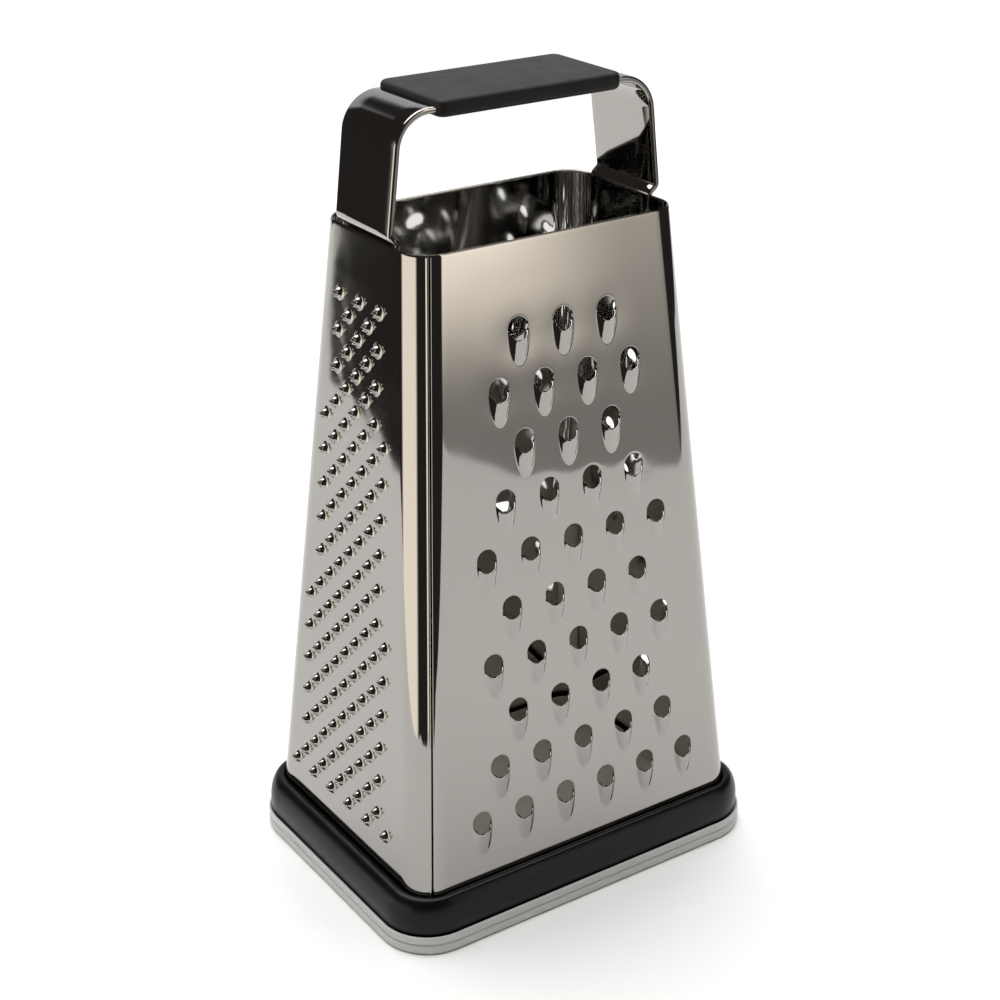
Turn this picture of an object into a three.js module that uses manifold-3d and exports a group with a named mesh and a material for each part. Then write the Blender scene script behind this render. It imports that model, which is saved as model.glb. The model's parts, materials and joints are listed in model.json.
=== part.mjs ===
// A four-sided box grater: one stainless sheet wrapped into a tapering tube, a welded strap
// handle with a moulded grip, a plastic ring round the foot and a lift-off bottom cover.
// Millimetres, +Z up. The origin is the centre of the cover's underside. The coarse face looks
// along -Y, the fine face along -X, the medium face along +X and the slicing face along +Y.
import * as THREE from "three";
import { mergeVertices } from "three/addons/utils/BufferGeometryUtils.js";
import Module from "manifold-3d";

const wasm = await Module();
wasm.setup();

// Wrapped steel body
const BODY_HEIGHT = 197.5;
const BODY_TOP_LENGTH = 87.4; // along X, outside, at the rim
const BODY_TOP_WIDTH = 51; // along Y, outside, at the rim
const BODY_BOTTOM_LENGTH = 119.4; // along X, outside, at the lower edge
const BODY_BOTTOM_WIDTH = 89.9; // along Y, outside, at the lower edge
const CORNER_RADIUS_TOP = 8;
const CORNER_RADIUS_BOTTOM = 9;
const SHEET = 0.6; // steel thickness
const SEAM_DEG = 60; // how far round its corner the outer edge of the sheet ends
const LAP_DEG = 38; // how far the tucked flange runs back behind that edge
const LAP_STEP_DEG = 8; // how much of the corner the step into the flange takes
const LAP_GAP = 0.25; // between the two layers of the lap

// Coarse teeth, front face
const COARSE_HOLE = 6.8;
const COARSE_PITCH = 14.9;
const COARSE_ROW = 16;
const COARSE_SHIFT = 1.5; // the pattern sits this far from the middle of the face, off the seam
const COARSE_TOP = 24.4; // first row below the rim, along the slope
const COARSE_FOOT = 1.5; // least bare steel between the lowest tooth and the ring
const COARSE_SIDE = 19.2; // least distance from a hole's centre to the outside of the body
const COARSE_LIP = 2; // height of the cutting lip
const COARSE_SCOOP = 9.6; // length of the scoop below the lip

// Medium teeth, right face
const MEDIUM_HOLE = 4.6;
const MEDIUM_PITCH = 13;
const MEDIUM_ROW = 13.6;
const MEDIUM_TOP = 27;
const MEDIUM_FOOT = 3;
const MEDIUM_SIDE = 14.5;
const MEDIUM_LIP = 1.5;
const MEDIUM_SCOOP = 6.4;

// Fine burst teeth, left face
const FINE_BASE = 4; // across the foot of one burst
const FINE_CROWN = 2.2; // across its torn crown
const FINE_HOLE = 1.3;
const FINE_HEIGHT = 1.2;
const FINE_PITCH = 10.6;
const FINE_ROW = 5.35;
const FINE_SHIFT = -2.5;
const FINE_TOP = 19.4;
const FINE_FOOT = 6;
const FINE_SIDE = 15.12;

// Slicing slots, back face
const SLOT_HEIGHT = 5;
const SLOT_SIDE = 16; // from the end of a slot to the outside of the body at the rim
const SLOT_ROW = 36;
const SLOT_TOP = 44;
const SLOT_FOOT = 8;
const SLOT_LIP = 1.8;
const SLOT_RAMP = 9; // length of the ramp below the blade's lip

// Strap handle
const STRAP = 1.8; // strip thickness
const STRAP_MARGIN = 3.5; // from the strip's edge to the start of the body's corner, at the rim
const STRAP_RISE = 35.7; // top of the bridge above the rim
const STRAP_TUCK = 17.5; // welded length inside the body
const STRAP_STEP_OUT = 1.55; // the legs stand this far outside the rim
const STRAP_JOG_START = 0.9; // the S-bend begins this far above the rim
const STRAP_JOG = 2; // height of the S-bend
const STRAP_JOG_BEND = 1.4; // bend radii, to the middle of the strip
const STRAP_LEAN_DEG = 6.8; // the legs lean inwards
const STRAP_BEND = 10.3;
const WELD_GAP = 0.2; // between strip and wall

// Moulded grip
const GRIP_INSET = 1.5; // from the grip's end to the start of the strap's bend
const GRIP_SIDE = 2; // plastic beside the strip
const GRIP_ABOVE = 1.8; // plastic above the strip
const GRIP_BELOW = 1.2; // plastic below the strip
const GRIP_CORNER = 3; // corner radius seen from above
const GRIP_EDGE = 1.5; // rounding of the top and bottom edges
const GRIP_GAP = 0.2; // moulding clearance round the strip

// Base ring
const RING_ENDS = 4.7; // the ring stands out this far from the steel's lower edge along X
const RING_SIDES = 3.4; // and this far along Y
const RING_TOP = 12.4; // crest of the ring above the steel's lower edge
const RING_SHOULDER = 4.5; // where the outer wall starts to round over, above the same edge
const RING_CREST = 1.6; // the crest stands this far out from the steel
const RING_VALLEY = 0.8; // depth of the groove between the crest and the steel
const RING_WEB = 3.2; // plastic below the steel's lower edge
const RING_INNER_WALL = 1.8;
const RING_INNER_RISE = 4; // inner wall above the steel's lower edge
const RING_CORNER = 15;
const RING_FIT = 0.3; // clearance of the steel in its slot
const SEAT_GAP = 0.2; // clearance under each piece that rests on another

// Bottom cover
const COVER_FLOOR = 1.4;
const COVER_WALL = 1.1;
const COVER_RISE = 4.8; // wall above the floor
const COVER_STEP = 0.9; // the wall stands this far outside the ring
const COVER_EDGE = 1.2; // rounding of the bottom edge
const COVER_GROOVE = 0.35; // depth of the line round the wall
const COVER_GROOVE_DROP = 2.7; // from the rim down to that line
const COVER_FIT = 0.3; // clearance between the ring's skirt and the wall

// Fineness of the facets, and how far teeth and cutters reach past the surface they meet
const CORNER_STEPS = 6;
const BURST_SIDES = 3;
const BEND_STEPS = 8;
const EDGE_STEPS = 4;
const EMBED = SHEET / 2;
const CUT = 1;
const MOUTH_ROOF = 6; // above every lip

// Pressed teeth: sections as shares of the half width and of the height, where along its length a
// tooth has a section, how wide its tip is against its lip, and the opening above the lip as
// shares of its reach and width
const ARCH = [[1, 0], [1, 0.45], [0.55, 1], [-0.55, 1], [-1, 0.45], [-1, 0]];
const TRAPEZOID = [[1, 0], [0.85, 1], [-0.85, 1], [-1, 0]];
const TOOTH_STATIONS = [0, 0.6, 1];
const SCOOP_TIP = 0.15;
const RAMP_TIP = 0.94;
const ROUND_MOUTH = [[1, 0.4], [0.65, 0.85]];
const STRAIGHT_MOUTH = [[1, 1]];
const LIP_SHARE = 0.25; // of a round hole, that its lip roofs over

// Heights that follow from the stack of pieces
const coverRimZ = COVER_FLOOR + COVER_RISE;
const ringBottomZ = COVER_FLOOR + SEAT_GAP;
const slotFloorZ = ringBottomZ + RING_WEB;
const bodyBottomZ = slotFloorZ + SEAT_GAP;
const rimZ = bodyBottomZ + BODY_HEIGHT;
const strapMidZ = rimZ + STRAP_RISE - STRAP / 2;
const strapWidth = BODY_TOP_WIDTH - 2 * (CORNER_RADIUS_TOP + STRAP_MARGIN);

// The body's outline at a height: length, width and corner radius change in a straight line.
function bodyAt(z) {
  const t = (z - bodyBottomZ) / BODY_HEIGHT;
  return {
    length: THREE.MathUtils.lerp(BODY_BOTTOM_LENGTH, BODY_TOP_LENGTH, t),
    width: THREE.MathUtils.lerp(BODY_BOTTOM_WIDTH, BODY_TOP_WIDTH, t),
    radius: THREE.MathUtils.lerp(CORNER_RADIUS_BOTTOM, CORNER_RADIUS_TOP, t),
  };
}

// A closed geometry as a solid for cutting and joining.
function toSolid(geometry) {
  const bare = geometry.clone();
  bare.deleteAttribute("normal");
  bare.deleteAttribute("uv");
  const merged = mergeVertices(bare, 1e-4);
  const mesh = new wasm.Mesh({
    numProp: 3,
    vertProperties: merged.attributes.position.array,
    triVerts: new Uint32Array(merged.index.array),
  });
  return new wasm.Manifold(mesh);
}

function toGeometry(solid) {
  const mesh = solid.getMesh();
  const geometry = new THREE.BufferGeometry();
  geometry.setAttribute("position", new THREE.BufferAttribute(mesh.vertProperties, 3));
  geometry.setIndex(new THREE.BufferAttribute(mesh.triVerts, 1));
  return geometry;
}

// Triangles over one flat ring, counter-clockwise like the ring itself.
function capTriangles(ring) {
  const axis = new THREE.Vector3();
  ring.forEach((p, i) => axis.add(p.clone().cross(ring[(i + 1) % ring.length])));
  axis.normalize();
  const across = Math.abs(axis.x) > 0.7 ? new THREE.Vector3(0, 1, 0) : new THREE.Vector3(1, 0, 0);
  const u = across.projectOnPlane(axis).normalize();
  const v = axis.clone().cross(u);
  const flat = ring.map((p) => new THREE.Vector2(p.dot(u), p.dot(v)));
  return THREE.ShapeUtils.triangulateShape(flat, []);
}

// Joins rings with the same number of points into a closed surface. Each ring runs
// counter-clockwise seen from the far end. A cyclic loft joins its last ring to the first,
// and any other has both ends capped.
function loft(rings, cyclic = false) {
  const count = rings[0].length;
  const bands = cyclic ? rings.length : rings.length - 1;
  const triangles = [];
  for (let i = 0; i < bands; i++) {
    const a = i * count;
    const b = ((i + 1) % rings.length) * count;
    for (let j = 0; j < count; j++) {
      const k = (j + 1) % count;
      triangles.push(a + j, a + k, b + k, a + j, b + k, b + j);
    }
  }
  if (!cyclic) {
    const last = bands * count;
    capTriangles(rings[0]).forEach(([p, q, r]) => triangles.push(r, q, p));
    capTriangles(rings[bands]).forEach(([p, q, r]) => triangles.push(last + p, last + q, last + r));
  }
  const geometry = new THREE.BufferGeometry().setFromPoints(rings.flat());
  geometry.setIndex(triangles);
  return geometry;
}

// A rounded rectangle at a height, counter-clockwise from above.
function roundedLoop(length, width, radius, z) {
  const x = length / 2 - radius;
  const y = width / 2 - radius;
  const centres = [[x, y], [-x, y], [-x, -y], [x, -y]];
  return centres.flatMap(([cx, cy], corner) =>
    Array.from({ length: CORNER_STEPS + 1 }, (_, i) => {
      const angle = (Math.PI / 2) * (corner + i / CORNER_STEPS);
      return new THREE.Vector3(cx + radius * Math.cos(angle), cy + radius * Math.sin(angle), z);
    }),
  );
}

// One surface of the sheet in plan, set in from the outside by depth. It starts at the flange
// tucked inside the front-left corner, runs along the front, right, back and left, and ends on
// the outside of the corner that it started in.
function sheetLine(z, depth) {
  const { length, width, radius } = bodyAt(z);
  const x = length / 2 - radius;
  const y = width / 2 - radius;
  const arc = (cx, cy, from, to, steps, inset = 0) =>
    Array.from({ length: steps + 1 }, (_, i) => {
      const angle = THREE.MathUtils.degToRad(THREE.MathUtils.lerp(from, to, i / steps));
      const r = radius - depth - inset;
      return new THREE.Vector3(cx + r * Math.cos(angle), cy + r * Math.sin(angle), z);
    });
  const seam = 180 + SEAM_DEG;
  const half = CORNER_STEPS / 2;
  return [
    ...arc(-x, -y, seam - LAP_DEG, seam, half, SHEET + LAP_GAP),
    ...arc(-x, -y, seam + LAP_STEP_DEG, 270, half),
    ...arc(x, -y, 270, 360, CORNER_STEPS),
    ...arc(x, y, 0, 90, CORNER_STEPS),
    ...arc(-x, y, 90, 180, CORNER_STEPS),
    ...arc(-x, -y, 180, seam, half),
  ];
}

function wrappedSheet() {
  const section = (z) => [...sheetLine(z, 0), ...sheetLine(z, SHEET).reverse()];
  return toSolid(loft([section(bodyBottomZ), section(rimZ)]));
}

// A face of the body has a frame on its outer surface: u to the right seen from outside, v up
// the slope from the lower edge, w outwards. half(v) is the distance at that height from the
// middle of the face to the outside of the body beside it.
function faceFrame(turn, reach, span) {
  const lean = Math.atan2(reach.bottom - reach.top, BODY_HEIGHT);
  const slope = BODY_HEIGHT / Math.cos(lean);
  const matrix = new THREE.Matrix4().makeRotationZ(turn);
  matrix.multiply(new THREE.Matrix4().makeTranslation(0, -reach.bottom, bodyBottomZ));
  matrix.multiply(new THREE.Matrix4().makeRotationX(Math.PI / 2 - lean));
  const half = (v) => THREE.MathUtils.lerp(span.bottom, span.top, v / slope);
  return { matrix, slope, half };
}

const alongX = { bottom: BODY_BOTTOM_LENGTH / 2, top: BODY_TOP_LENGTH / 2 };
const alongY = { bottom: BODY_BOTTOM_WIDTH / 2, top: BODY_TOP_WIDTH / 2 };
const frontFace = faceFrame(0, alongY, alongX);
const rightFace = faceFrame(Math.PI / 2, alongX, alongY);
const backFace = faceFrame(Math.PI, alongY, alongX);
const leftFace = faceFrame(-Math.PI / 2, alongX, alongY);

// Staggered rows from the rim down, with as many places in each row as its side margin leaves.
function staggeredPlaces(face, { top, foot, row, pitch, side, shift }) {
  const rows = Math.floor((face.slope - top - foot) / row) + 1;
  const places = [];
  for (let j = 0; j < rows; j++) {
    const v = face.slope - top - j * row;
    const odd = j % 2;
    const most = Math.floor((face.half(v) - side) / pitch - odd / 2);
    for (let k = -most - odd; k <= most; k++) {
      places.push([(k + odd / 2) * pitch + shift, v]);
    }
  }
  return places;
}

// One small solid repeated at each place of a face.
function repeated(face, places, geometry) {
  const solid = toSolid(geometry);
  const copies = places.map(([u, v]) => {
    const matrix = face.matrix.clone().multiply(new THREE.Matrix4().makeTranslation(u, v, 0));
    return solid.transform(matrix.elements);
  });
  return wasm.Manifold.union(copies);
}

// A pressed tooth, with its lip along v = 0. Its sections shrink from the lip down to the tip at
// v = -length.
function toothRings({ section, width, tip, height, length }, foot) {
  return TOOTH_STATIONS.map((s) => {
    const a = (width / 2) * THREE.MathUtils.lerp(1, tip, s * s);
    const roof = THREE.MathUtils.lerp(height, -EMBED / 2, s);
    return section.map(([across, up]) => {
      return new THREE.Vector3(across * a, -s * length, THREE.MathUtils.lerp(-foot, roof, up));
    });
  });
}

// The opening above the lip, from its far end down.
function mouthRings({ section, width, mouth, reach }, foot) {
  return mouth.map(([along, across]) => {
    const a = (width / 2) * across;
    return section.map(([x, up]) => {
      return new THREE.Vector3(x * a, along * reach, THREE.MathUtils.lerp(-foot, MOUTH_ROOF, up));
    });
  });
}

// Adds the same pressed tooth at each place: its outside is joined on, then the opening and the
// hollow behind the lip are cut in one go, which leaves a wall as thick as the sheet.
function withTeeth(body, face, places, shape) {
  const outside = loft(toothRings(shape, EMBED));
  const inner = { ...shape, width: shape.width - 2 * SHEET };
  const hollow = toothRings(inner, CUT);
  hollow.flat().forEach((p) => p.setZ(p.z - SHEET));
  const cutter = loft([...mouthRings(inner, SHEET + CUT), ...hollow]);
  return body.add(repeated(face, places, outside)).subtract(repeated(face, places, cutter));
}

// Round holes in staggered rows, each with a scoop below it.
function withScoops(body, face, pattern, { hole, lip, length, section }) {
  const shape = {
    section,
    width: hole + 2 * SHEET,
    tip: SCOOP_TIP,
    height: lip,
    length,
    mouth: ROUND_MOUTH,
    reach: hole * (1 - LIP_SHARE),
  };
  const lipDrop = hole / 2 - hole * LIP_SHARE;
  const foot = RING_TOP + lipDrop + length + pattern.foot;
  const holes = staggeredPlaces(face, { ...pattern, foot });
  const lips = holes.map(([u, v]) => [u, v - lipDrop]);
  return withTeeth(body, face, lips, shape);
}

function withBursts(body) {
  const pattern = {
    top: FINE_TOP,
    foot: RING_TOP + FINE_BASE / 2 + FINE_FOOT,
    row: FINE_ROW,
    pitch: FINE_PITCH,
    side: FINE_SIDE,
    shift: FINE_SHIFT,
  };
  const places = staggeredPlaces(leftFace, pattern);
  const height = FINE_HEIGHT + EMBED;
  const burst = new THREE.CylinderGeometry(FINE_CROWN / 2, FINE_BASE / 2, height, BURST_SIDES);
  burst.rotateX(Math.PI / 2).translate(0, 0, height / 2 - EMBED);
  const depth = SHEET + FINE_HEIGHT + 2 * CUT;
  const hole = new THREE.CylinderGeometry(FINE_HOLE / 2, FINE_HOLE / 2, depth, BURST_SIDES);
  hole.rotateX(Math.PI / 2).translate(0, 0, depth / 2 - SHEET - CUT);
  return body.add(repeated(leftFace, places, burst)).subtract(repeated(leftFace, places, hole));
}

function withSlots(body) {
  const shape = {
    section: TRAPEZOID,
    width: BODY_TOP_LENGTH - 2 * SLOT_SIDE,
    tip: RAMP_TIP,
    height: SLOT_LIP,
    length: SLOT_RAMP,
    mouth: STRAIGHT_MOUTH,
    reach: SLOT_HEIGHT,
  };
  const foot = RING_TOP + SLOT_RAMP + SLOT_FOOT;
  const count = Math.floor((backFace.slope - SLOT_TOP - foot) / SLOT_ROW) + 1;
  const lips = Array.from({ length: count }, (_, j) => [0, backFace.slope - SLOT_TOP - j * SLOT_ROW]);
  return withTeeth(body, backFace, lips, shape);
}

function graterBody() {
  const coarse = {
    top: COARSE_TOP,
    foot: COARSE_FOOT,
    row: COARSE_ROW,
    pitch: COARSE_PITCH,
    side: COARSE_SIDE,
    shift: COARSE_SHIFT,
  };
  const medium = {
    top: MEDIUM_TOP,
    foot: MEDIUM_FOOT,
    row: MEDIUM_ROW,
    pitch: MEDIUM_PITCH,
    side: MEDIUM_SIDE,
    shift: 0,
  };
  let body = wrappedSheet();
  body = withScoops(body, frontFace, coarse, {
    hole: COARSE_HOLE,
    lip: COARSE_LIP,
    length: COARSE_SCOOP,
    section: ARCH,
  });
  body = withScoops(body, rightFace, medium, {
    hole: MEDIUM_HOLE,
    lip: MEDIUM_LIP,
    length: MEDIUM_SCOOP,
    section: TRAPEZOID,
  });
  body = withBursts(body);
  body = withSlots(body);
  return toGeometry(body);
}

// A line through the given corners with each inner corner rounded by its own radius.
function rounded(corners, radii) {
  const line = [corners[0]];
  for (let i = 1; i < corners.length - 1; i++) {
    const before = corners[i - 1].clone().sub(corners[i]).normalize();
    const after = corners[i + 1].clone().sub(corners[i]).normalize();
    const inner = before.angleTo(after);
    const middle = before.clone().add(after).normalize();
    const centre = corners[i].clone().addScaledVector(middle, radii[i - 1] / Math.sin(inner / 2));
    const start = corners[i].clone().addScaledVector(before, radii[i - 1] / Math.tan(inner / 2));
    const turn = (Math.PI - inner) * Math.sign(after.cross(before));
    for (let k = 0; k <= BEND_STEPS; k++) {
      line.push(start.clone().rotateAround(centre, (turn * k) / BEND_STEPS));
    }
  }
  line.push(corners[corners.length - 1]);
  return line;
}

// The line moved sideways, to its left for a positive distance.
function offsetLine(line, distance) {
  return line.map((p, i) => {
    const before = p.clone().sub(line[i - 1] ?? p).normalize();
    const after = (line[i + 1] ?? p).clone().sub(p).normalize();
    const along = before.clone().add(after).normalize();
    const left = new THREE.Vector2(-along.y, along.x);
    return p.clone().addScaledVector(left, distance / along.dot(i === 0 ? after : before));
  });
}

// Where the strip's middle line turns, in X and Z, on the right-hand leg from the bottom up.
function strapCorners() {
  const lean = Math.atan2(alongX.bottom - alongX.top, BODY_HEIGHT);
  const wallToMiddle = (SHEET + WELD_GAP + STRAP / 2) / Math.cos(lean);
  const inside = (z) => bodyAt(z).length / 2 - wallToMiddle;
  const tuckZ = rimZ - STRAP_TUCK;
  const jogZ = rimZ + STRAP_JOG_START;
  const legZ = jogZ + STRAP_JOG;
  const legX = alongX.top + STRAP_STEP_OUT - STRAP / 2;
  const bridgeX = legX - (strapMidZ - legZ) * Math.tan(THREE.MathUtils.degToRad(STRAP_LEAN_DEG));
  return [
    new THREE.Vector2(inside(tuckZ), tuckZ),
    new THREE.Vector2(inside(rimZ), jogZ),
    new THREE.Vector2(legX, legZ),
    new THREE.Vector2(bridgeX, strapMidZ),
  ];
}

function handleStrap() {
  const right = strapCorners();
  const left = right.map((p) => new THREE.Vector2(-p.x, p.y)).reverse();
  const radii = [STRAP_JOG_BEND, STRAP_JOG_BEND, STRAP_BEND];
  const middle = rounded([...right, ...left], [...radii, ...radii.toReversed()]);
  const outline = [...offsetLine(middle, -STRAP / 2), ...offsetLine(middle, STRAP / 2).reverse()];
  const strip = new THREE.ExtrudeGeometry(new THREE.Shape(outline), {
    depth: strapWidth,
    bevelEnabled: false,
  });
  return strip.rotateX(Math.PI / 2).translate(0, strapWidth / 2, 0);
}

function handleGrip() {
  const bend = Math.PI / 2 - THREE.MathUtils.degToRad(STRAP_LEAN_DEG);
  const straight = strapCorners()[3].x - STRAP_BEND * Math.tan(bend / 2);
  const length = 2 * (straight - GRIP_INSET);
  const width = strapWidth + 2 * GRIP_SIDE;
  const height = GRIP_BELOW + STRAP + GRIP_ABOVE;
  const outline = new THREE.Shape(
    roundedLoop(length, width, GRIP_CORNER, 0).map((p) => new THREE.Vector2(p.x, p.y)),
  );
  const block = new THREE.ExtrudeGeometry(outline, {
    depth: height - 2 * GRIP_EDGE,
    bevelThickness: GRIP_EDGE,
    bevelSize: GRIP_EDGE,
    bevelOffset: -GRIP_EDGE,
    bevelSegments: EDGE_STEPS,
  });
  block.translate(0, 0, strapMidZ - STRAP / 2 - GRIP_BELOW + GRIP_EDGE);
  const channel = new THREE.BoxGeometry(
    length + 2 * CUT,
    strapWidth + 2 * GRIP_GAP,
    STRAP + 2 * GRIP_GAP,
  );
  channel.translate(0, 0, strapMidZ);
  return toGeometry(toSolid(block).subtract(toSolid(channel)));
}

const ringLength = BODY_BOTTOM_LENGTH + 2 * RING_ENDS;
const ringWidth = BODY_BOTTOM_WIDTH + 2 * RING_SIDES;
const coverLength = ringLength + 2 * COVER_STEP;
const coverWidth = ringWidth + 2 * COVER_STEP;
const coverCorner = RING_CORNER + COVER_STEP;

// The steel's outline at a height, grown outwards on every side.
function aroundBody(z, grow) {
  const { length, width, radius } = bodyAt(z);
  return roundedLoop(length + 2 * grow, width + 2 * grow, radius + grow, z);
}

// Angles of a quarter turn, for rounded edges.
const quarterTurn = Array.from({ length: EDGE_STEPS + 1 }, (_, i) => (Math.PI / 2) * (i / EDGE_STEPS));

// The ring's section, from the skirt inside the cover up over the shoulder to the crest, down
// the slot that holds the steel, over the inner wall and back under.
function baseRing() {
  const inset = COVER_WALL + COVER_FIT - COVER_STEP;
  const outer = (z, inward) =>
    roundedLoop(ringLength - 2 * inward, ringWidth - 2 * inward, RING_CORNER - inward, z);
  const ledgeZ = coverRimZ + SEAT_GAP;
  const shoulderZ = bodyBottomZ + RING_SHOULDER;
  const crestZ = bodyBottomZ + RING_TOP;
  const shoulder = outer(shoulderZ, 0);
  const crest = aroundBody(crestZ, RING_CREST);
  const roundOver = quarterTurn.map((angle) =>
    shoulder.map((p, i) => {
      const point = p.clone().lerp(crest[i], 1 - Math.cos(angle));
      point.z = THREE.MathUtils.lerp(shoulderZ, crestZ, Math.sin(angle));
      return point;
    }),
  );
  const hollow = -SHEET - RING_FIT;
  const innerTopZ = bodyBottomZ + RING_INNER_RISE;
  return loft(
    [
      outer(ringBottomZ, inset),
      outer(ledgeZ, inset),
      outer(ledgeZ, 0),
      ...roundOver,
      aroundBody(crestZ - RING_VALLEY, RING_FIT),
      aroundBody(slotFloorZ, RING_FIT),
      aroundBody(slotFloorZ, hollow - LAP_GAP - SHEET),
      aroundBody(innerTopZ, hollow - LAP_GAP - SHEET),
      aroundBody(innerTopZ, hollow - LAP_GAP - SHEET - RING_INNER_WALL),
      aroundBody(ringBottomZ, hollow - LAP_GAP - SHEET - RING_INNER_WALL),
    ],
    true,
  );
}

// A shallow pan: rounded bottom edge, a line round the wall, and a flat floor.
function bottomCover() {
  const loop = (z, inward) =>
    roundedLoop(coverLength - 2 * inward, coverWidth - 2 * inward, coverCorner - inward, z);
  const grooveZ = coverRimZ - COVER_GROOVE_DROP;
  return loft([
    ...quarterTurn.map((angle) =>
      loop(COVER_EDGE * (1 - Math.cos(angle)), COVER_EDGE * (1 - Math.sin(angle))),
    ),
    loop(grooveZ - COVER_GROOVE, 0),
    loop(grooveZ, COVER_GROOVE),
    loop(grooveZ + COVER_GROOVE, 0),
    loop(coverRimZ, 0),
    loop(coverRimZ, COVER_WALL),
    loop(COVER_FLOOR, COVER_WALL),
  ]);
}

const grater = new THREE.Group();

function addPiece(name, geometry, color, roughness, metalness) {
  const material = new THREE.MeshStandardMaterial({ color, roughness, metalness });
  const mesh = new THREE.Mesh(geometry, material);
  mesh.name = name;
  grater.add(mesh);
}

addPiece("grater_body", graterBody(), 0xc8c4bd, 0.18, 1);
addPiece("handle_strap", handleStrap(), 0xc6c6c6, 0.15, 1);
addPiece("handle_grip", handleGrip(), 0x2b2a29, 0.7, 0);
addPiece("base_ring", baseRing(), 0x1a1a1a, 0.4, 0);
addPiece("bottom_cover", bottomCover(), 0xa2a4a3, 0.45, 0);

export default grater;
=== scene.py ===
# %% [markdown]
# # A box grater in steel, rubber and plastic
#
# This lesson dresses the imported model of a four-sided box grater. The imported frame fixes every size and
# place, so each piece below is worked out in millimetres in the same frame and becomes metres only when
# its mesh is made. The grater is one wrapped steel sheet with punched teeth, a polished strap with a
# rubber grip, a black plastic ring round the foot and a frosted cover that the ring stands in.
#
# The script starts by loading the frame.

# %% Load the frame
import json

import bpy
import numpy as np
from mathutils import Matrix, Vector
from mathutils.geometry import delaunay_2d_cdt


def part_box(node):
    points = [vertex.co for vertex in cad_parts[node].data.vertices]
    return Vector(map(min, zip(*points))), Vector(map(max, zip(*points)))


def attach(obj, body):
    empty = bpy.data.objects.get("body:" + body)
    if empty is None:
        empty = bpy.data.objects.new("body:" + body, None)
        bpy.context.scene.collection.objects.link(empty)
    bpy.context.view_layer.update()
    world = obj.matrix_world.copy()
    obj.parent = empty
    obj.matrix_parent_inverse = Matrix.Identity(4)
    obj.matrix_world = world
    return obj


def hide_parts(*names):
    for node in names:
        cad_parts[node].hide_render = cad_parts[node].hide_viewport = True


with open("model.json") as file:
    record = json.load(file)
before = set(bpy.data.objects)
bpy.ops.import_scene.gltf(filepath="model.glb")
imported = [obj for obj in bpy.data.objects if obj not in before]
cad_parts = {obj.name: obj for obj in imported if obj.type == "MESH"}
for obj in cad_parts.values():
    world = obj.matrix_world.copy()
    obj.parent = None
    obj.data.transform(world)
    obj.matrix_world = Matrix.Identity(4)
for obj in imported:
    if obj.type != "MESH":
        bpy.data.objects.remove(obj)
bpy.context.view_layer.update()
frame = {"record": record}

# %% [markdown]
# ## Tools for the whole lesson
#
# Every surface here is an array of points on a grid, so one function numbers the corners of a grid's
# quads and another puts points and faces into a mesh. The record says which body carries a node, so a
# piece only has to name the node that it stands for.

# %% Grids and pieces
MM = 0.001
record = frame["record"]
BODY_OF = {node: body for body, nodes in record["behaviour"]["bodies"].items() for node in nodes}


def lerp(a, b, t):
    """The value a share t of the way from a to b."""
    return a + (b - a) * t


def smoothstep(low, high, x):
    """Zero up to low, one from high, and 3t^2 - 2t^3 between them."""
    t = np.clip((x - low) / (high - low), 0, 1)
    return t * t * (3 - 2 * t)


def grid_faces(rows, columns, closed=False):
    """Corner numbers of a grid's quads. Points are numbered row by row, and a closed grid joins its
    last column to its first."""
    row = np.arange(rows - 1)[:, None]
    column = np.arange(columns if closed else columns - 1)
    ahead = (column + 1) % columns
    here = row * columns
    above = here + columns
    corners = np.broadcast_arrays(here + column, here + ahead, above + ahead, above + column)
    return np.stack(corners, -1).reshape(-1, 4)


def add_piece(name, points, faces, node):
    """A smooth-shaded piece that stands for a CAD node, from points in millimetres."""
    mesh = bpy.data.meshes.new(name)
    mesh.from_pydata((np.reshape(points, (-1, 3)) * MM).tolist(), [], [list(map(int, f)) for f in faces])
    mesh.shade_smooth()
    piece = bpy.data.objects.new(name, mesh)
    bpy.context.scene.collection.objects.link(piece)
    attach(piece, BODY_OF[node])
    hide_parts(node)
    print(name, len(mesh.vertices), "points", len(mesh.polygons), "faces")
    return piece


def node_box(node):
    """Lowest and highest corner of a CAD node in millimetres."""
    return [np.array(corner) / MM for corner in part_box(node)]


# %% [markdown]
# ## The wrapped sheet in plan
#
# The body is one strip of 0.6 mm stainless steel, bent round four corners into a tapering tube. It
# starts as a flange tucked inside the front-left corner and ends on the outside of that corner, which
# gives the lap seam. A level of the tube is a list of columns: arcs for the corners and even steps for
# the flat faces. All levels share the columns, so flat faces, corners and rim meet point to point.

# %% Sizes of the sheet
body_low, body_high = node_box("grater_body")
BODY_BOTTOM_Z = body_low[2]
BODY_HEIGHT = body_high[2] - body_low[2]
TOP_LENGTH = 87.4
TOP_WIDTH = 51.0
BOTTOM_LENGTH = body_high[0] - body_low[0]
BOTTOM_WIDTH = body_high[1] - body_low[1]
TOP_RADIUS = 8.0
BOTTOM_RADIUS = 9.0
SHEET = 0.6
SEAM_DEG = 60.0
LAP_DEG = 38.0
LAP_STEP_DEG = 8.0
LAP_GAP = 0.25
CURL = 0.45
CURL_DEG = 2.5
CURL_TURN_DEG = 75.0
FLARE = 0.28
FLARE_DEG = 5.0
LAP_STEPS = 6
CURL_STEPS = 5
FACE_STEPS = {"front": 50, "right": 50, "back": 50, "left": 60}
CORNER_STEPS = 12
END_STEPS = 8


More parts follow.
